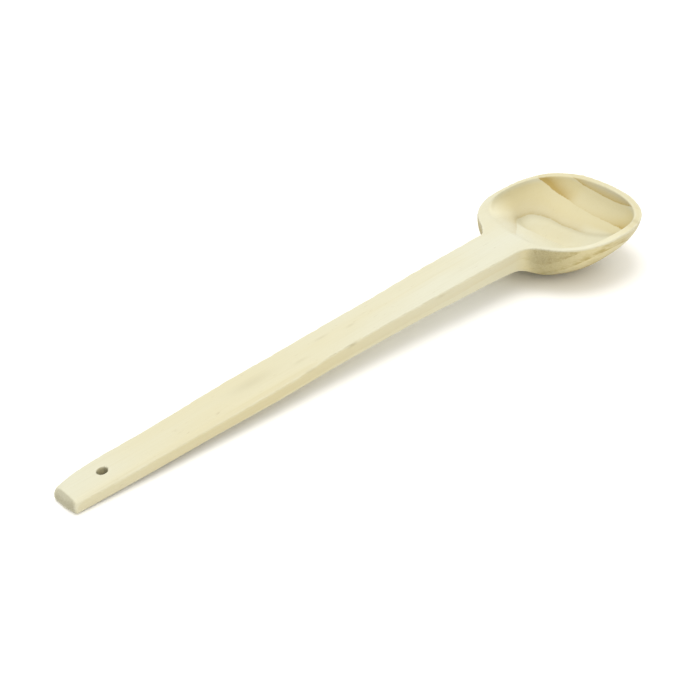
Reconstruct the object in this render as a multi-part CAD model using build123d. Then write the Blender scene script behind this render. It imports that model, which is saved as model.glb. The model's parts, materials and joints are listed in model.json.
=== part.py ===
from build123d import *
import os
from math import cos, pi, sin

# A long-handled wooden cooking spoon, carved from one piece of pine.
# It is drawn in the blank's own frame: x runs along the flat top from the handle's end to the
# bowl's tip, y goes across, and z = 0 is the flat top, with the wood below it. At the end the
# spoon is laid on a table, where it rests on its bowl and on the handle's end.
# All sizes are in millimetres and all angles in degrees.

# Handle: a flat tapered bar, a little wider and much thicker towards the bowl.
end_thickness = 6.4
end_near_radius = 1.6
end_far_corner = 6.0
far_edge = [(3.2, 9.3), (70.0, 11.8), (150.0, 13.3), (225.0, 14.4), (294.0, 15.4)]
near_edge = [(end_near_radius, -9.2), (70.0, -10.2), (150.0, -10.5), (225.0, -12.0), (284.0, -13.9)]
underside = [(0.0, -end_thickness), (60.0, -7.3), (140.0, -8.7), (220.0, -10.3), (290.0, -13.8)]
throat = (313.0, -20.0)

# Neck: the wood that flares from the handle to the bowl's shoulders.
neck_depth = 21.0
neck_inset = 6.0
flare_turn = (292.5, -14.1)
flare_radius = 11.0
near_shoulder = (306.5, -32.0)
far_shoulder = (303.0, 21.0)
neck_inner_x = 316.0

# Bowl: its outline is an egg-shaped superellipse whose tip leans to one side. Its wall is
# steep behind and slopes in towards the tip, because its deepest point lies well back.
bowl_centre = (349.7, -1.4)
bowl_front = 47.8
bowl_back = 51.6
bowl_half_width = 46.5
outline_power = 2.45
tip_skew = 0.18
tip_skew_lost = 0.33
back_skew = 0.03
bowl_depth = 30.3
bowl_setback = 12.0
bowl_depth_power = 1.82
bowl_shrink_power = 2.0
bowl_levels = [0.0, 0.2, 0.4, 0.58, 0.74, 0.87, 0.95, 0.99]

# Hollow: the inside of the bowl, which leaves a rim all round and ramps up to the handle.
hollow_centre = (348.2, -1.3)
hollow_front = 43.6
hollow_back = 45.5
hollow_half_width = 41.8
hollow_skew = 0.13
hollow_skew_lost = 0.2
hollow_depth = 22.5
hollow_setback = 7.0
hollow_depth_power = 1.82
hollow_shrink_power = 2.0
hollow_ramp = 0.6
hollow_ramp_power = 0.8
hollow_levels = [0.0, 0.1, 0.22, 0.4, 0.58, 0.74, 0.87, 0.95, 0.99]
hollow_top_clearance = 2.0
hollow_top_scale = 1.02

# Hanging hole, drilled straight through the handle near its end.
hole_x = 19.3
hole_y = 0.3
hole_radius = 2.5

# Softened edges.
top_edge_radius = 1.0
bottom_edge_radius = 1.0
hollow_edge_radius = 1.2
last_rounded_x = 300.5

# How the spoon lies on a table: its angle, and how far along the handle's end part reaches.
rest_tilt = 4.0
handle_end_length = 60.0

points_per_section = 24


def signed_power(value, exponent):
    """Raise the size of a value to a power and keep its sign."""
    size = abs(value) ** exponent
    return size if value >= 0 else -size


def egg_points(centre, front, back, half_width, skew):
    """Points round a superellipse whose back is longer and whose tip leans towards +y."""
    points = []
    for step in range(points_per_section):
        angle = 2 * pi * (step + 0.5) / points_per_section
        along = signed_power(cos(angle), 2 / outline_power)
        across = signed_power(sin(angle), 2 / outline_power) * half_width
        reach, lean = (front, skew) if along > 0 else (back, back_skew)
        x = centre[0] + reach * along + lean * across * abs(along)
        points.append((x, centre[1] + across))
    return points


def egg_face(points, height):
    """A flat face inside a smooth closed curve, at a given height."""
    return Plane.XY.offset(height) * make_face(Spline(*points, periodic=True))


def bowl_hull():
    """The outside of the bowl, from its flat rim down to its round bottom."""
    sections = []
    for level in bowl_levels:
        shrink = (1 - level**bowl_depth_power) ** (1 / bowl_shrink_power)
        centre = (bowl_centre[0] - bowl_setback * level, bowl_centre[1])
        reaches = [shrink * size for size in (bowl_front, bowl_back, bowl_half_width)]
        points = egg_points(centre, *reaches, tip_skew - tip_skew_lost * level)
        sections.append(egg_face(points, -bowl_depth * level))
    return loft(sections)


def hollow():
    """The space inside the bowl, carried up past the rim so that it cuts cleanly."""
    rim_reaches = (hollow_front, hollow_back, hollow_half_width)
    reaches = [hollow_top_scale * size for size in rim_reaches]
    sections = [egg_face(egg_points(hollow_centre, *reaches, hollow_skew), hollow_top_clearance)]
    for level in hollow_levels:
        shrink = (1 - level**hollow_depth_power) ** (1 / hollow_shrink_power)
        ramp = 1 - hollow_ramp * level**hollow_ramp_power
        centre = (hollow_centre[0] - hollow_setback * level, hollow_centre[1])
        reaches = (shrink * hollow_front, shrink * ramp * hollow_back, shrink * hollow_half_width)
        points = egg_points(centre, *reaches, hollow_skew - hollow_skew_lost * level)
        sections.append(egg_face(points, -hollow_depth * level))
    return loft(sections)


def shank_outline(inset, height):
    """The handle and neck from above, with the neck's flare drawn in by an inset."""
    near = (near_shoulder[0] + inset, near_shoulder[1] + inset)
    far = (far_shoulder[0] + inset, far_shoulder[1] - inset)
    turn = (flare_turn[0] + inset, flare_turn[1])
    far_side = Spline(*far_edge) + Polyline(far_edge[-1], far, (neck_inner_x + inset, far[1]))
    inner = Line((neck_inner_x + inset, far[1]), (neck_inner_x + inset, near[1]))
    flare = Line((neck_inner_x + inset, near[1]), near)
    flare += FilletPolyline(near, turn, near_edge[-1], radius=flare_radius)
    near_side = Spline(*near_edge)
    round_corner = RadiusArc(near_edge[0], (0, near_edge[0][1] + end_near_radius), end_near_radius)
    end = Polyline((0, near_edge[0][1] + end_near_radius), (0, end_far_corner), far_edge[0])
    return Plane.XY.offset(height) * make_face(far_side + inner + flare + near_side + round_corner + end)


def side_profile():
    """The blank's side view, wider than the neck: it gives the handle its taper in thickness."""
    bottom = Spline(*underside, throat)
    top = Polyline(throat, (throat[0], 0), (0, 0), underside[0])
    side = Plane.XZ.offset(-bowl_half_width) * make_face(bottom + top)
    return extrude(side, amount=2 * bowl_half_width)


def shank():
    """The handle and neck as one bar, thin at the end and deep at the throat."""
    outlines = [shank_outline(0.0, 0.0), shank_outline(neck_inset, -neck_depth)]
    bar = loft(outlines, ruled=True) & side_profile()
    underside_face = bar.faces().sort_by(SortBy.AREA)[-2]
    return fillet(underside_face.edges().filter_by(is_outside_bowl), bottom_edge_radius)


def is_outside_bowl(edge):
    """Tell the edges of the shank that the bowl doesn't swallow."""
    return edge.bounding_box().max.X < last_rounded_x


def hanging_hole():
    """The drill's path through the handle."""
    return Pos(hole_x, hole_y, 0) * Cylinder(hole_radius, 4 * end_thickness)


def carved_spoon():
    """The whole spoon in the blank's frame, with its edges softened."""
    body = shank() + bowl_hull()
    flat_top = body.faces().sort_by(Axis.Z)[-1]
    body = fillet(flat_top.edges(), top_edge_radius) - hollow()
    flat_top = body.faces().sort_by(Axis.Z)[-1]
    body = fillet(flat_top.inner_wires()[0].edges(), hollow_edge_radius)
    return body - hanging_hole()


def laid_down(spoon):
    """Lay the spoon on a table, sand the bowl flat where it rests, and centre it there."""
    lying = Rot(0, -rest_tilt, 0) * spoon
    reach = 2 * handle_end_length
    handle_end = lying & Box(reach, reach, reach)
    table_height = handle_end.bounding_box().min.Z
    ground = Plane.XY.offset(table_height)
    lying = split(lying, bisect_by=ground, keep=Keep.TOP)
    box = lying.bounding_box()
    return Pos(-box.center().X, -box.center().Y, -box.min.Z) * lying


os.makedirs("parts", exist_ok=True)
export_step(laid_down(carved_spoon()), "parts/carved_spoon.step")
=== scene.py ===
import json
import math

import bmesh
import bpy
import numpy as np
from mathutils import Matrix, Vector


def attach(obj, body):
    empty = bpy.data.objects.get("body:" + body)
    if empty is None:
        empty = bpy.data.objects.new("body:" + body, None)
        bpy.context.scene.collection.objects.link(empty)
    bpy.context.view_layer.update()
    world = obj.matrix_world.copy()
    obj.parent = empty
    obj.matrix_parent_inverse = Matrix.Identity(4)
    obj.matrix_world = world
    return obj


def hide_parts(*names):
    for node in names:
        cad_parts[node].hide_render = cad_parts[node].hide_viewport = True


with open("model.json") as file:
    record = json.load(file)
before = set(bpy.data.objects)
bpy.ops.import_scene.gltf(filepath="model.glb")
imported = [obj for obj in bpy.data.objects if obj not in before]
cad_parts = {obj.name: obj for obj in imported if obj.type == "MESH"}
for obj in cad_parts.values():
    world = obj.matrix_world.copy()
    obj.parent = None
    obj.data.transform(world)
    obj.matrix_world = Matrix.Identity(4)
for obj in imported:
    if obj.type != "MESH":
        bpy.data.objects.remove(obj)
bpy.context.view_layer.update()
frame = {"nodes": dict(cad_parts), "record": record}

# ---------------------------------------------------------------------------
# Where the spoon lies. Its shape is described in its blank's own frame, in millimetres: x runs
# along the flat top from the handle's end to the bowl's tip, y goes across, and z = 0 is the
# flat top, with the wood below it. The hanging hole's mount says how that blank lies in the
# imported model: its axis gives the tilt, and its middle is half the wall below the flat top.
# ---------------------------------------------------------------------------
MM = 0.001
HOLE_X = 19.3
HOLE_Y = 0.3

hole = next(m for m in frame["record"]["mounts"] if m["name"] == "hanging_hole")
HOLE_RADIUS = hole["dims"]["r_mm"]
hole_middle = np.array([HOLE_X, HOLE_Y, -hole["dims"]["length_mm"] / 2])
tilt = math.atan2(-hole["axis"][0], hole["axis"][2])
BLANK_TO_ROW = np.array(
    [
        [math.cos(tilt), 0.0, -math.sin(tilt)],
        [0.0, 1.0, 0.0],
        [math.sin(tilt), 0.0, math.cos(tilt)],
    ]
)
BLANK_ORIGIN = np.array(hole["pos_m"]) / MM - BLANK_TO_ROW @ hole_middle


def to_row(points):
    """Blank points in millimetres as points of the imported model, in metres."""
    return (np.asarray(points, float) @ BLANK_TO_ROW.T + BLANK_ORIGIN) * MM


def to_blank(points):
    """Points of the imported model, in metres, as blank points in millimetres."""
    return (np.asarray(points, float) / MM - BLANK_ORIGIN) @ BLANK_TO_ROW


# ---------------------------------------------------------------------------
# The spoon's shape, as functions that are negative in the wood and grow about as fast as the
# distance from its surface.
# ---------------------------------------------------------------------------

# The handle's two edges and its underside: how far along, and then how far across or down.
FAR_EDGE = (
    (0.0, 7.0), (7.0, 8.1), (20.0, 9.3), (45.0, 9.9), (70.0, 10.8),
    (118.0, 12.3), (150.0, 13.1), (225.0, 14.4), (294.0, 15.4), (330.0, 15.8),
)
NEAR_EDGE = (
    (0.0, -9.3), (20.0, -9.8), (70.0, -10.5), (110.0, -10.6),
    (150.0, -10.5), (225.0, -12.0), (284.0, -13.9), (330.0, -15.4),
)
UNDERSIDE = ((0.0, -6.4), (60.0, -7.3), (140.0, -8.7), (220.0, -10.3), (290.0, -13.8), (330.0, -21.0))

# A slanting flat that a knife left along the near upper edge: how deep it cuts, and its slope.
WHITTLED = ((0.0, 0.9), (20.0, 1.1), (60.0, 1.2), (110.0, 1.7), (132.0, 1.4), (150.0, -1.0), (200.0, -2.0))
WHITTLED_SLOPE = 0.42
WHITTLED_SCALE = 0.92

HANDLE_STOP = 312.0
FAR_CORNER = 294.0
FAR_FLARE = 1.02
FAR_UNDERCUT = 0.3

# The handle's end: it bulges, is cut back at the top, and has its far upper corner planed off.
END_TOP = 0.9
END_BULGE = 1.75
END_SLANT = (0.756, 0.654)
CORNER_PLANE = (0.148, 0.255, 0.956)
CORNER_Y = 3.9

# Dents along the near upper edge: how far along, half their length, and their depth.
NICKS = ((163.0, 3.4, 1.15), (166.0, 1.8, 1.3), (226.0, 3.0, 1.1), (262.0, 1.6, 0.8))

# The shoulder in the hollow: a place on it, and the way down into the bowl.
SHOULDER = (323.0, 14.0)
SHOULDER_HEADING = (0.63, -0.777)
TOP_EDGE_RADIUS = 0.22
BOTTOM_EDGE_RADIUS = 0.65

# The bowl's outside and its hollow. The tip leans by skew, and near_trim takes a little off
# the near side of the tip.
BOWL = dict(
    centre=(349.7, -1.4), front=48.7, back=51.2, half_width=46.7, power=2.45,
    skew=0.18, skew_lost=0.33, back_skew=0.03, near_trim=0.02, depth=30.3, setback=12.0,
)
HOLLOW = dict(
    centre=(351.1, -0.3), front=42.4, back=45.8, half_width=42.9, power=2.32,
    skew=0.146, skew_lost=0.20, back_skew=0.14, near_trim=0.0, depth=22.5, setback=8.0,
)
DEPTH_POWER = 1.82


def smooth_step(value, low, high):
    s = np.clip((value - low) / (high - low), 0.0, 1.0)
    return s * s * (3 - 2 * s)


def smooth_max(a, b, reach):
    """The greater of two values, rounded off where they are within reach of each other."""
    near = np.clip(1 - np.abs(a - b) / reach, 0.0, None)
    return np.maximum(a, b) + near * near * reach / 4


def smooth_min(a, b, reach):
    return -smooth_max(-a, -b, reach)


def curve(points, x):
    """A smooth curve through a few points, as a value for each x."""
    xs, ys = np.array(points).T
    slopes = np.gradient(ys, xs)
    x = np.clip(x, xs[0], xs[-1])
    i = np.clip(np.searchsorted(xs, x) - 1, 0, len(xs) - 2)
    span = xs[i + 1] - xs[i]
    s = (x - xs[i]) / span
    start = (1 + 2 * s) * (1 - s) ** 2 * ys[i] + s * (1 - s) ** 2 * span * slopes[i]
    end = s * s * (3 - 2 * s) * ys[i + 1] + s * s * (s - 1) * span * slopes[i + 1]
    return start + end


def egg_bowl(p, shape):
    """The bowl's outside or its hollow: 0 on the surface, with egg-shaped levels that shrink."""
    level = np.maximum(-p[:, 2] / shape["depth"], 0.0)
    capped = np.minimum(level, 1.0)
    shrink = np.sqrt(np.maximum(1 - capped**DEPTH_POWER, 0.0))
    along = p[:, 0] - (shape["centre"][0] - shape["setback"] * capped)
    across = p[:, 1] - shape["centre"][1]
    lean = across / np.maximum(shrink, 0.35)
    skew = shape["skew"] - shape["skew_lost"] * capped
    front = shape["front"] + skew * lean - shape["near_trim"] * np.maximum(-lean, 0.0)
    reach = np.where(along > 0, front, shape["back"] - shape["back_skew"] * lean)
    power = shape["power"]
    ring = (np.abs(along / reach) ** power + np.abs(across / shape["half_width"]) ** power) ** (2 / power)
    return ring + level**DEPTH_POWER - 1


def as_distance(function, p, step=0.02):
    """A function's value over its slope, which near the surface is the distance to it."""
    slopes = []
    for axis in np.eye(3) * step:
        slopes.append((function(p + axis) - function(p - axis)) / (2 * step))
    return function(p) / np.maximum(np.linalg.norm(slopes, axis=0), 1e-3)


def handle(p):
    """The handle and neck: a tapered bar, open above, with rounded lower edges and a cut end."""
    x, y, z = p.T
    far, near, bottom = curve(FAR_EDGE, x), curve(NEAR_EDGE, x), curve(UNDERSIDE, x)
    far = far + smooth_max(x - FAR_CORNER + FAR_UNDERCUT * z, 0.0, 2.0) * FAR_FLARE
    middle, half = (far + near) / 2, (far - near) / 2
    side = np.abs(y - middle) - half
    bar = smooth_max(side, bottom - z, 2 * BOTTOM_EDGE_RADIUS)
    end = -END_BULGE * (1 - 0.65 * smooth_step(-y, 1.0, 9.0)) - x
    end = smooth_max(end, END_SLANT[1] * z - END_SLANT[0] * (x - END_TOP), 1.2)
    bar = smooth_max(bar, end, 0.9)
    bar = np.maximum(bar, x - HANDLE_STOP)
    back, aside, up = CORNER_PLANE
    bevel = -back * (x - END_TOP) + aside * (y - CORNER_Y) + up * z
    whittled = (z + curve(WHITTLED, x) + WHITTLED_SLOPE * (near - y)) * WHITTLED_SCALE
    return smooth_max(smooth_max(bar, bevel, 0.6), whittled, 0.5)


def shoulder(p):
    """Negative above the gentle slope at the hollow's back, which ends in a steeper wall."""
    x, y = p[:, 0] - SHOULDER[0], p[:, 1] - SHOULDER[1]
    inward = x * SHOULDER_HEADING[0] + y * SHOULDER_HEADING[1]
    along = y * SHOULDER_HEADING[0] - x * SHOULDER_HEADING[1]
    steep = 0.50 + 0.70 * smooth_step(along, -2.0, 15.0)
    depth = 4.0 + 0.2 * along + smooth_max(0.27 * inward, steep * inward, 4.0)
    return (-depth - p[:, 2]) * 0.75


def hand_carved(p):
    """The slight unevenness that a knife and sandpaper leave: long waves, and shorter ones inside."""
    x, y, z = p.T
    long_waves = np.sin(x / 23.0 + 0.4 * np.sin(y / 9.0)) + 0.7 * np.sin(x / 11.3 + y / 17.0 + 2.0)
    strokes = np.sin(x / 5.1 + y / 12.0 + 1.0) * np.sin(y / 4.3 - x / 19.0 + z / 6.0)
    inside = smooth_step(x, 300.0, 325.0)
    return 0.11 * long_waves * (1 - 0.5 * inside) + 0.07 * strokes * inside


def nicks(p):
    """Negative in the small dents along the near upper edge."""
    x, y, z = p.T
    dents = np.full(len(p), -9.0)
    for middle, half_length, depth in NICKS:
        edge = y - curve(NEAR_EDGE, np.full(len(p), middle))
        along = (x - middle) / half_length
        away = np.sqrt(along**2 + ((edge + 0.4) / depth) ** 2 + ((z - 0.3) / depth) ** 2)
        dents = np.maximum(dents, (1 - away) * depth)
    return dents


def table_height(p):
    """How far below the table a point is, in millimetres."""
    return -(p @ BLANK_TO_ROW[2] + BLANK_ORIGIN[2])


def spoon(p):
    """The whole spoon."""
    x, y, z = p.T
    bowl = as_distance(lambda q: egg_bowl(q, BOWL), p)
    flare = 2.0 + 8.0 * smooth_step(-y, -12.0, 5.0)
    body = smooth_min(handle(p), bowl, flare)
    body = smooth_max(body, z, 2 * TOP_EDGE_RADIUS)
    void = as_distance(lambda q: egg_bowl(q, HOLLOW), p)
    void = smooth_max(void, shoulder(p), 5.0)
    lip = 1.0 + 2.6 * smooth_step(-x, -345.0, -316.0)
    body = smooth_max(body, -void, lip) + hand_carved(p)
    body = smooth_max(body, nicks(p), 0.5)
    body = smooth_max(body, table_height(p), 0.3)
    drill = HOLE_RADIUS - np.hypot(x - HOLE_X, y - HOLE_Y)
    return smooth_max(body, drill, 0.45)


# ---------------------------------------------------------------------------
# The mesh: the CAD solid's copy, remeshed evenly, and each point moved onto the shape above.
# ---------------------------------------------------------------------------
CELL = 0.72 * MM
LONGEST_MOVE = 3.0
STEP = 0.01


def welded(mesh):
    """A copy of a mesh with the seams between its faces closed."""
    work = bmesh.new()
    work.from_mesh(mesh)
    bmesh.ops.remove_doubles(work, verts=work.verts, dist=0.002 * MM)
    closed = bpy.data.meshes.new("welded")
    work.to_mesh(closed)
    work.free()
    return closed


def remeshed(mesh):
    """An even mesh of small quads round the same solid."""
    shell = bpy.data.objects.new("remesh", mesh)
    bpy.context.scene.collection.objects.link(shell)
    modifier = shell.modifiers.new("even", "REMESH")
    modifier.mode = "VOXEL"
    modifier.voxel_size = CELL
    depsgraph = bpy.context.evaluated_depsgraph_get()
    even = bpy.data.meshes.new_from_object(shell.evaluated_get(depsgraph))
    bpy.data.objects.remove(shell)
    return even


def mesh_points(mesh):
    points = np.zeros(len(mesh.vertices) * 3)
    mesh.vertices.foreach_get("co", points)
    return points.reshape(-1, 3)


def settle(points, steps):
    """Move points onto the spoon's surface."""
    for _ in range(steps):
        value = spoon(points)
        slope = np.stack([spoon(points + axis) - value for axis in np.eye(3) * STEP], 1) / STEP
        size = np.maximum((slope**2).sum(1), 0.05)
        move = np.clip(value / np.sqrt(size), -LONGEST_MOVE, LONGEST_MOVE) / np.sqrt(size)
        points = points - slope * move[:, None]
    return points


def outward(points):
    """The direction straight out of the wood at each point."""
    slope = np.stack([spoon(points + axis) - spoon(points - axis) for axis in np.eye(3) * STEP], 1)
    return slope / np.linalg.norm(slope, axis=1)[:, None]


def relax(points, edges, share):
    """Move each point some way towards the middle of its neighbours."""
    total = np.zeros_like(points)
    count = np.zeros(len(points))
    for a, b in ((0, 1), (1, 0)):
        np.add.at(total, edges[:, a], points[edges[:, b]])
        np.add.at(count, edges[:, a], 1)
    return points + (total / count[:, None] - points) * share


def mesh_edges(mesh):
    edges = np.zeros(len(mesh.edges) * 2, int)
    mesh.edges.foreach_get("vertices", edges)
    return edges.reshape(-1, 2)


def carve(mesh, rounds):
    """Move a mesh's points onto the spoon's surface, evened out between rounds."""
    edges = mesh_edges(mesh)
    points = to_blank(mesh_points(mesh))
    for _ in range(rounds):
        points = settle(points, 3)
        points = relax(points, edges, 0.5)
    points = to_row(settle(points, 5))
    mesh.vertices.foreach_set("co", points.ravel())
    mesh.update()
    return mesh


def build_spoon():
    """The visible spoon, with exact normals so that its edges shade as they are shaped."""
    rough = welded(frame["nodes"]["carved_spoon"].data)
    mesh = carve(remeshed(rough), 2)
    mesh = carve(remeshed(mesh), 3)
    mesh.shade_smooth()
    normals = outward(to_blank(mesh_points(mesh))) @ BLANK_TO_ROW.T
    mesh.normals_split_custom_set_from_vertices(normals)
    mesh.name = "spoon_wood"
    piece = bpy.data.objects.new("spoon_wood", mesh)
    bpy.context.scene.collection.objects.link(piece)
    return piece


wood_piece = build_spoon()

# ---------------------------------------------------------------------------
# What the wood looks like at each point, worked out here and read by the material: its place in
# the blank, where it lies between two growth rings, how strongly the rings show, whether it is
# on the bowl's outside, how warm it is, with painted shade on the handle's sides, how much painted
# light makes it paler, how dark a mark it has, with painted shade low on the bowl's outside, how
# much end grain, and whether it is on a sharp edge or in a crease, which the material uses for a
# painted highlight and painted shade.
# ---------------------------------------------------------------------------
RING_START = 320.0
RING_UNIT = 40.0
RING_CURVE = (1.45, -1.92, -2.23, -4.23)
RING_EDGE = (25.5, 0.017)
RING_LEVELS = (-18.5, -6.5, 9.2)

# The light patch on the hollow's floor: its slanting back edge, its front and far edges, and how
# far from its edge the colour fades, as the width of one ring.
PATCH_BACK = (308.8, 1.7)
PATCH_BACK_SLOPE = 0.758
PATCH_BACK_LENGTH = 1.255
PATCH_FRONT = 363.7
PATCH_FAR = 29.3
PATCH_RING = 17.0

BOWL_MIDDLE = (349.0, -1.0, 2.0)

# Resin flecks and a knock or two: where each is, its length and width, and how dark it is.
MARKS = (
    ((171.0, 2.3, 0.0), 2.8, 0.7, 0.28),
    ((153.0, 5.3, 0.0), 4.0, 0.7, 0.26),
    ((132.0, -2.2, 0.0), 4.5, 0.7, 0.22),
    ((160.0, -10.7, -0.8), 3.0, 0.9, 0.60),
    ((131.0, -10.5, -1.6), 3.0, 0.7, 0.35),
    ((104.0, 1.5, 0.0), 12.0, 3.2, 0.20),
    ((226.0, -12.1, -1.5), 3.0, 0.9, 0.30),
)


def ring_height(p):
    """The height of the growth ring through each point: rings are nearly level in the bowl."""
    x, y, z = p.T
    ahead, aside = np.clip(x - RING_START, 0.0, None) / RING_UNIT, y / RING_UNIT
    rise, lean, twist, bend = RING_CURVE
    edge = -RING_EDGE[1] * np.clip(y - RING_EDGE[0], 0.0, None) ** 2
    return z + rise * ahead**4 + lean * aside + twist * ahead**2 * aside + bend * aside**2 + edge


def floor_patch(p):
    """How far outside the light patch on the hollow's floor a point is, seen from above."""
    x, y = p[:, 0], p[:, 1]
    back = ((y - PATCH_BACK[1]) - PATCH_BACK_SLOPE * (x - PATCH_BACK[0])) / PATCH_BACK_LENGTH
    front = smooth_max(x - PATCH_FRONT, y - PATCH_FAR, 16.0)
    return smooth_max(back, front, 9.0)


def ring_number(height):
    """Height as a count of rings: each whole number is a ring's dark boundary."""
    low, middle, high = RING_LEVELS
    above = (height - middle) / (high - middle)
    below = (height - middle) / (middle - low)
    return np.where(height > middle, above, below)


def mesh_normals(mesh):
    normals = np.zeros(len(mesh.vertices) * 3)
    mesh.vertices.foreach_get("normal", normals)
    return normals.reshape(-1, 3)


def add_attribute(mesh, name, kind, values):
    key = {"FLOAT": "value", "FLOAT_VECTOR": "vector"}[kind]
    mesh.attributes.new(name, kind, "POINT").data.foreach_set(key, np.asarray(values, float).ravel())


def edge_bulge(mesh):
    """How far each point stands out of its surroundings, in millimetres: positive on an edge."""
    row = mesh_points(mesh)
    edges = mesh_edges(mesh)
    smooth = row
    for _ in range(3):
        smooth = relax(smooth, edges, 0.6)
    bulge = ((row - smooth) * mesh_normals(mesh)).sum(1) / MM
    for _ in range(2):
        bulge = relax(bulge[:, None], edges, 0.6)[:, 0]
    return bulge


def bowl_outside(p, normals):
    """1 on the bowl's outside, 0 in the hollow and along the handle."""
    x, _, z = p.T
    facing_out = ((p - np.array(BOWL_MIDDLE)) * normals).sum(1)
    return smooth_step(facing_out, 0.0, 12.0) * smooth_step(-z, 0.2, 1.5) * smooth_step(x, 285.0, 305.0)


def ring_count(p, outside):
    """The ring number at each point. In the hollow's back it follows the light patch's edge."""
    x, y, _ = p.T
    height = ring_height(p)
    wrapped = 1.6 * (height - 0.46 * smooth_max(-y - 19.0, 0.0, 6.0)) + 15.9
    level = ring_number(height)
    patch = np.clip(floor_patch(p), -6.0, 14.0) / PATCH_RING - 1
    towards_tip = smooth_step(level, -0.6, -0.1) * smooth_step(x, 340.0, 362.0)
    in_bowl = smooth_step(x, 285.0, 305.0)
    hollow_rings = level * (1 - in_bowl) + in_bowl * (patch + (level - patch) * towards_tip)
    return hollow_rings * (1 - outside) + ring_number(wrapped) * outside


def near_tip(p):
    """1 where the middle ring's line fades out, on the near side of the tip."""
    return smooth_step(p[:, 0], 362.0, 384.0) * smooth_step(-p[:, 1], -24.0, -8.0)


def ring_contrast(p, rings, outside):
    """How strongly the rings show: faint on the handle and the rim, strong on the far wall."""
    x, y, z = p.T
    strength = 0.12 + 0.88 * smooth_step(x, 296.0, 330.0)
    strength *= 0.55 + 0.45 * np.maximum(smooth_step(rings, -0.8, 0.1), outside)
    strength *= 1 - 0.25 * (1 - outside) * smooth_step(-x, -355.0, -335.0) * smooth_step(-rings, 0.0, 0.4)
    middle_band = (1 - outside) * smooth_step(rings, -0.1, 0.1) * smooth_step(-rings, -1.0, -0.8)
    strength *= 1 + middle_band * (0.35 + 0.45 * smooth_step(y, 20.0, 36.0))
    strength *= 1 - 0.92 * (1 - outside) * near_tip(p) * smooth_step(-rings, -0.9, -0.6)
    strength *= 1 - 0.22 * (1 - outside) * smooth_step(rings, 0.95, 1.05)
    strength *= 0.15 + 0.85 * smooth_step(-z, 0.1, 0.8)
    strength *= 1 + outside * (0.6 - 1.35 * smooth_step(x, 330.0, 366.0))
    strength *= 1 - 0.85 * (1 - outside) * smooth_step(-y, 1.0, 12.0) * smooth_step(-rings, 0.35, 0.75)
    return strength


def warm_tint_and_side_shade(p, normals, rings, outside):
    """How warm the wood's colour is: most in the bowl, and in one stretch of the handle; the handle's
    sides also get painted shade.
    """
    x, _, z = p.T
    ring_share = 0.4 + 0.6 * smooth_step(rings, -1.0, -0.4)
    tint = smooth_step(x, 312.0, 352.0) * smooth_step(-z, 0.3, 4.0) * ring_share
    above_middle = smooth_step(rings, 0.0, 0.3) * (1 - outside) * smooth_step(-z, 0.0, 0.6)
    tint += 0.75 * above_middle * smooth_step(x, 335.0, 352.0) * (1 - near_tip(p))
    tint += 0.75 * smooth_step(x, 325.0, 350.0) * (1 - smooth_step(-z, 0.2, 1.0))
    outer_tint = outside * (1.25 - 1.15 * smooth_step(x, 335.0, 372.0))
    tint = np.maximum(tint, outer_tint) * 0.80 + 0.46 * np.exp(-(((x - 110.0) / 75.0) ** 2))
    # Painted shade: the handle's sides, which face across, are darkened as if less light fell on them.
    tint += 0.30 * smooth_step(np.abs(normals[:, 1]), 0.5, 0.9) * smooth_step(-x, -320.0, -290.0)
    return tint


def painted_light_and_paleness(p, inside):
    """How much paler the wood is painted: painted light on the far wall behind the shoulder, and on the
    patch on the floor, which is partly the earlywood's own paleness and partly painted light.
    """
    x, y, z = p.T
    # Painted light: the far wall behind the shoulder is made paler, as if more light fell on it.
    pale = 0.8 * inside * smooth_step(-z, 0.3, 1.5) * smooth_step(-x, -352.0, -322.0)
    pale *= smooth_step(y, 20.0, 34.0)
    # The floor patch is partly the earlywood's own paleness and partly painted light.
    patch_pale_and_painted_light = 0.35 * inside * smooth_step(-floor_patch(p), -2.0, 4.0)
    patch_pale_and_painted_light *= smooth_step(-x, -360.0, -338.0)
    return np.maximum(pale, patch_pale_and_painted_light)


def marks_and_painted_shade(p, inside, outside):
    """How dark the flecks are, and the patch's edge, and a stretch of the bowl's outside below the rim;
    the bowl's outside also gets painted shade, darker towards the table.
    """
    x, _, z = p.T
    marks_and_shade = np.zeros(len(p))
    for middle, length, width, darkness in MARKS:
        away = ((p - np.array(middle)) / (length, width, width)) ** 2
        marks_and_shade = np.maximum(marks_and_shade, darkness * np.exp(-away.sum(1)))
    edge_line = np.exp(-((floor_patch(p) / 2.0) ** 2))
    edge_line *= smooth_step(x, 322.0, 338.0) * smooth_step(-x, -384.0, -372.0)
    marks_and_shade = np.maximum(marks_and_shade, 0.30 * edge_line * inside)
    marks_and_shade = np.maximum(marks_and_shade, 0.26 * outside * smooth_step(z, -7.0, -1.5) * smooth_step(x, 325.0, 345.0))
    # Painted shade: the bowl's outside grows darker towards the table, where less light reaches it.
    return np.maximum(marks_and_shade, 0.30 * outside * smooth_step(-z, 10.0, 26.0) * smooth_step(-x, -370.0, -340.0))


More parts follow.
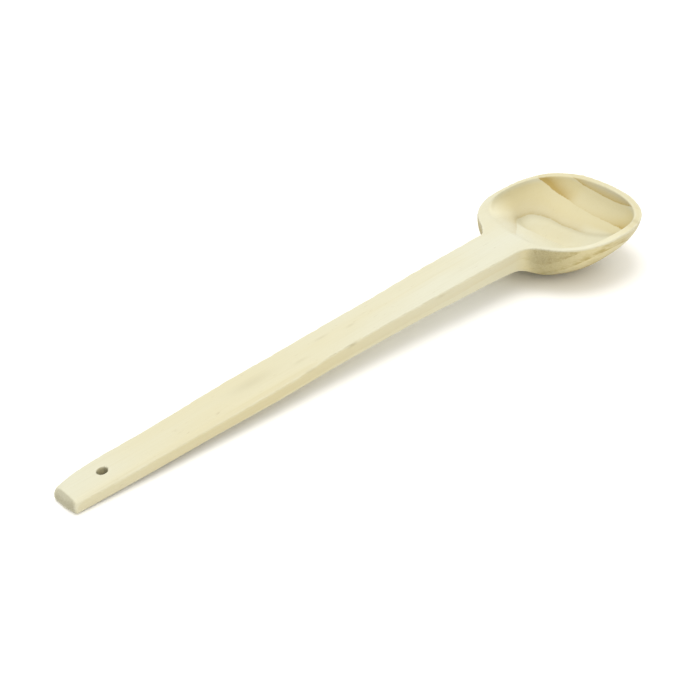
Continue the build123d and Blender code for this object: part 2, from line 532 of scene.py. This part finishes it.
def describe_wood(mesh):
    """Store what the material reads, as one value for each point."""
    p = to_blank(mesh_points(mesh))
    normals = mesh_normals(mesh) @ BLANK_TO_ROW
    outside = bowl_outside(p, normals)
    inside = smooth_step(p[:, 0], 300.0, 320.0) * (1 - outside)
    rings = ring_count(p, outside)
    end_grain = smooth_step(np.abs(normals[:, 0]), 0.35, 1.0) * (1 - 0.6 * inside)
    bulge = edge_bulge(mesh)
    add_attribute(mesh, "blank_mm", "FLOAT_VECTOR", p)
    add_attribute(mesh, "ring_number", "FLOAT", rings)
    add_attribute(mesh, "ring_strength", "FLOAT", ring_contrast(p, rings, outside))
    add_attribute(mesh, "outside", "FLOAT", outside)
    add_attribute(mesh, "pale", "FLOAT", painted_light_and_paleness(p, inside))
    add_attribute(mesh, "warmth_and_side_shade", "FLOAT", warm_tint_and_side_shade(p, normals, rings, outside))
    add_attribute(mesh, "marks_and_shade", "FLOAT", marks_and_painted_shade(p, inside, outside))
    add_attribute(mesh, "end_grain", "FLOAT", end_grain)
    add_attribute(mesh, "bulge", "FLOAT", np.clip(bulge * 4, -1.0, 1.0))


describe_wood(wood_piece.data)


class Nodes:
    """Short calls for the nodes of one material."""

    def __init__(self, material):
        self.tree = material.node_tree

    def add(self, kind, **settings):
        node = self.tree.nodes.new(kind)
        for key, value in settings.items():
            setattr(node, key, value)
        return node

    def put(self, value, socket):
        if isinstance(value, bpy.types.NodeSocket):
            self.tree.links.new(value, socket)
        else:
            socket.default_value = value

    def attribute(self, name, output="Fac"):
        return self.add("ShaderNodeAttribute", attribute_name=name).outputs[output]

    def math(self, operation, *values, clamp=False):
        node = self.add("ShaderNodeMath", operation=operation, use_clamp=clamp)
        for value, socket in zip(values, node.inputs):
            self.put(value, socket)
        return node.outputs[0]

    def stretched(self, place, scales, shift=0.0):
        node = self.add("ShaderNodeMapping")
        self.put(place, node.inputs["Vector"])
        node.inputs["Scale"].default_value = scales
        node.inputs["Location"].default_value = (shift, shift * 1.7, shift * 0.6)
        return node.outputs[0]

    def noise(self, place, scales, shift=0.0, detail=3.0, rough=0.5, warp=0.0):
        node = self.add("ShaderNodeTexNoise")
        self.put(self.stretched(place, scales, shift), node.inputs["Vector"])
        node.inputs["Scale"].default_value = 1.0
        node.inputs["Detail"].default_value = detail
        node.inputs["Roughness"].default_value = rough
        node.inputs["Distortion"].default_value = warp
        return node.outputs["Fac"]

    def between(self, value, low, high, out_low=0.0, out_high=1.0):
        node = self.add("ShaderNodeMapRange", interpolation_type="SMOOTHSTEP")
        names = ("Value", "From Min", "From Max", "To Min", "To Max")
        for name, item in zip(names, (value, low, high, out_low, out_high)):
            self.put(item, node.inputs[name])
        return node.outputs["Result"]

    def mix(self, share, first, second, blend="MIX"):
        node = self.add("ShaderNodeMix", data_type="RGBA", blend_type=blend)
        self.put(share, node.inputs["Factor"])
        for value, socket in ((first, node.inputs[6]), (second, node.inputs[7])):
            self.put(value if isinstance(value, bpy.types.NodeSocket) else (*value, 1.0), socket)
        return node.outputs[2]

    def bump(self, height, distance, strength, under=None):
        node = self.add("ShaderNodeBump")
        node.inputs["Strength"].default_value = strength
        node.inputs["Distance"].default_value = distance
        self.put(height, node.inputs["Height"])
        if under is not None:
            self.put(under, node.inputs["Normal"])
        return node.outputs["Normal"]


SAPWOOD = (0.585, 0.583, 0.468)
# Warm sapwood; also the colour that paints shade on the handle's sides.
SAPWOOD_WARM_AND_SHADE = (0.560, 0.500, 0.285)
LATEWOOD = (0.395, 0.290, 0.085)
# Fibre colour, also used for painted shade in creases.
FIBRE_AND_CREASE_SHADE = (0.450, 0.410, 0.250)
END_GRAIN = (0.56, 0.54, 0.48)
# A pale colour that paints light on the hollow's far wall and floor patch.
PALE_AND_PAINTED_LIGHT = (0.700, 0.672, 0.490)
CANAL = (0.270, 0.190, 0.090)
# Colour of the flecks, also used for painted shade low on the bowl's outside.
FLECK_AND_SHADE = (0.300, 0.260, 0.130)
OLIVE = (0.375, 0.310, 0.120)
# A lighter colour that paints a highlight along sharp edges.
EDGE_HIGHLIGHT = (0.615, 0.605, 0.470)


def pine():
    """Bare pine: pale wood with long fibres, tan growth rings, resin dashes and dull end grain."""
    material = bpy.data.materials.new("bare_pine")
    material.use_nodes = True
    nodes = Nodes(material)
    shader = material.node_tree.nodes["Principled BSDF"]
    place = nodes.attribute("blank_mm", "Vector")

    # Growth rings: dark at each whole number and fading after it, with a wavering, ragged line.
    wobble = nodes.noise(place, (0.03, 0.10, 0.10), 3.0, detail=4.0, rough=0.55)
    ragged = nodes.noise(place, (0.25, 0.9, 0.9), 7.0, detail=3.0)
    shift = nodes.math("MULTIPLY_ADD", nodes.math("SUBTRACT", wobble, 0.5), 0.12, 0.0)
    shift = nodes.math("MULTIPLY_ADD", nodes.math("SUBTRACT", ragged, 0.5), 0.05, shift)
    phase = nodes.math("FRACT", nodes.math("ADD", nodes.attribute("ring_number"), shift))
    fade = nodes.math("POWER", nodes.math("SUBTRACT", 1.0, phase), 1.9)
    dark_core = nodes.between(phase, 0.13, 0.0, 0.0, 0.5)
    core = nodes.math("MULTIPLY", dark_core, nodes.between(ragged, 0.35, 0.65))
    late = nodes.math("MULTIPLY_ADD", fade, 0.85, core)
    late = nodes.math("MULTIPLY", late, nodes.between(phase, 0.0, 0.03))
    late = nodes.math("MULTIPLY", late, nodes.attribute("ring_strength"), clamp=True)
    outside = nodes.attribute("outside")
    broken = nodes.noise(place, (0.07, 0.45, 0.60), 41.0, detail=4.0, rough=0.6)
    kept = nodes.math("SUBTRACT", nodes.between(broken, 0.38, 0.60, 0.25, 1.35), 1.0)
    late = nodes.math("MULTIPLY", late, nodes.math("MULTIPLY_ADD", outside, kept, 1.0), clamp=True)

    # Colour: sapwood, with warm blotches, bands and fibres, then the rings and marks, painted shade on the
    # handle's sides and low on the bowl's outside, painted light in the hollow, a painted highlight on
    # sharp edges and painted shade in creases.
    blotch = nodes.noise(place, (0.012, 0.045, 0.045), 11.0, detail=2.0)
    warm = nodes.between(blotch, 0.35, 0.70)
    bands = nodes.noise(place, (0.0035, 0.30, 0.42), 5.0, detail=4.0, rough=0.6)
    fibres = nodes.noise(place, (0.020, 1.5, 1.5), 17.0, detail=5.0, rough=0.65)
    dashes = nodes.noise(place, (0.16, 2.6, 2.6), 23.0, detail=1.0)

    colour = nodes.mix(nodes.math("MULTIPLY", warm, 0.30), SAPWOOD, SAPWOOD_WARM_AND_SHADE)
    colour = nodes.mix(nodes.between(bands, 0.50, 0.78, 0.0, 0.22), colour, SAPWOOD_WARM_AND_SHADE)
    colour = nodes.mix(nodes.between(fibres, 0.46, 0.80, 0.0, 0.24), colour, FIBRE_AND_CREASE_SHADE)
    # Warmth of the wood, with painted shade on the handle's sides.
    colour = nodes.mix(nodes.attribute("warmth_and_side_shade"), colour, SAPWOOD_WARM_AND_SHADE)
    # Painted light on the hollow's far wall and floor patch.
    colour = nodes.mix(nodes.attribute("pale"), colour, PALE_AND_PAINTED_LIGHT)
    colour = nodes.mix(late, colour, nodes.mix(nodes.math("MULTIPLY", outside, 0.8), LATEWOOD, OLIVE))
    streaks = nodes.noise(place, (0.045, 0.55, 0.75), 53.0, detail=4.0, rough=0.6)
    streaks = nodes.math("MULTIPLY", outside, nodes.between(streaks, 0.52, 0.72, 0.0, 0.50))
    colour = nodes.mix(streaks, colour, OLIVE)
    # Flecks and marks, with painted shade low on the bowl's outside.
    colour = nodes.mix(nodes.attribute("marks_and_shade"), colour, FLECK_AND_SHADE)
    colour = nodes.mix(nodes.between(dashes, 0.735, 0.80, 0.0, 0.45), colour, CANAL)
    speckle = nodes.noise(place, (0.5, 2.2, 2.2), 31.0, detail=2.0)
    dull = nodes.math("MULTIPLY", nodes.attribute("end_grain"), nodes.between(speckle, 0.3, 0.7, 0.6, 1.0))
    colour = nodes.mix(dull, colour, END_GRAIN, "MULTIPLY")
    bulge = nodes.attribute("bulge")
    # Painted highlight: sharp edges are made lighter, and the same mask makes them a little smoother
    # below.
    patchy = nodes.between(ragged, 0.3, 0.6, 0.15, 0.55)
    worn_and_highlit = nodes.math("MULTIPLY", nodes.between(bulge, 0.10, 0.55), patchy)
    colour = nodes.mix(worn_and_highlit, colour, EDGE_HIGHLIGHT)
    # Painted shade: creases are made darker.
    crease_shade = nodes.between(bulge, -0.05, -0.5, 0.0, 0.35)
    colour = nodes.mix(crease_shade, colour, FIBRE_AND_CREASE_SHADE)
    nodes.put(colour, shader.inputs["Base Color"])

    # Gloss and relief: dull wood, a little smoother where it is worn, with fine grain.
    rough = nodes.between(fibres, 0.3, 0.75, 0.50, 0.66)
    rough = nodes.math("MULTIPLY_ADD", nodes.attribute("end_grain"), 0.14, rough)
    rough = nodes.math("MULTIPLY_ADD", worn_and_highlit, -0.10, rough)
    nodes.put(rough, shader.inputs["Roughness"])
    shader.inputs["IOR"].default_value = 1.45

    grain = nodes.bump(fibres, 0.00012, 0.55)
    grain = nodes.bump(bands, 0.00030, 0.35, grain)
    grain = nodes.bump(speckle, 0.00008, 0.35, grain)
    nodes.put(grain, shader.inputs["Normal"])
    return material


wood_piece.data.materials.clear()
wood_piece.data.materials.append(pine())
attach(wood_piece, "root")
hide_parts("carved_spoon")

# ---------------------------------------------------------------------------
# Floor, light and camera.
# ---------------------------------------------------------------------------
FLOOR_REACH = 3.0
FLOOR_CORNERS = [(x * FLOOR_REACH, y * FLOOR_REACH, 0) for x, y in ((-1, -1), (1, -1), (1, 1), (-1, 1))]

floor_mesh = bpy.data.meshes.new("floor")
floor_mesh.from_pydata(FLOOR_CORNERS, [], [(0, 1, 2, 3)])
floor = bpy.data.objects.new("floor", floor_mesh)
bpy.context.scene.collection.objects.link(floor)
floor_material = bpy.data.materials.new("floor")
floor_material.use_nodes = True
floor_shader = floor_material.node_tree.nodes["Principled BSDF"]
floor_shader.inputs["Base Color"].default_value = (0.94, 0.94, 0.94, 1)
floor_shader.inputs["Roughness"].default_value = 0.9
floor.data.materials.append(floor_material)

world = bpy.data.worlds.new("studio")
bpy.context.scene.world = world
world.use_nodes = True
background = world.node_tree.nodes["Background"]
background.inputs["Color"].default_value = (1.0, 0.98, 0.94, 1)
background.inputs["Strength"].default_value = 1.0
bpy.context.scene.view_settings.view_transform = "Standard"


def soft_light(name, place, target, size, power, colour=(1.0, 1.0, 1.0)):
    """A round area light that faces its target."""
    light = bpy.data.lights.new(name, "AREA")
    light.shape = "DISK"
    light.size = size
    light.energy = power
    light.color = colour
    lamp = bpy.data.objects.new(name, light)
    bpy.context.scene.collection.objects.link(lamp)
    lamp.location = place
    lamp.rotation_euler = (Vector(target) - Vector(place)).to_track_quat("-Z", "Y").to_euler()


soft_light("key", (0.15, 0.45, 2.0), (0.05, 0.0, 0.0), 1.5, 20.0)
soft_light("fill", (-0.5, -1.3, 0.7), (0.0, 0.0, 0.0), 1.4, 4.0, (1.0, 0.90, 0.72))

# The camera's place and what it looks at, in the blank's frame, and its focal length as a share
# of the picture's width.
EYE = (-123.64, -318.28, 277.83)
LOOK_AT = (154.95, -13.85, 0.0)
FOCAL_SHARE = 10 / 7
SENSOR_WIDTH = 36.0

camera = bpy.data.objects.new("camera", bpy.data.cameras.new("camera"))
bpy.context.scene.collection.objects.link(camera)
camera.data.sensor_width = SENSOR_WIDTH
camera.data.lens = SENSOR_WIDTH * FOCAL_SHARE
camera.data.clip_start = 0.01
eye, target = Vector(to_row(EYE)), Vector(to_row(LOOK_AT))
camera.location = eye
camera.rotation_euler = (target - eye).to_track_quat("-Z", "Y").to_euler()
bpy.context.scene.camera = camera
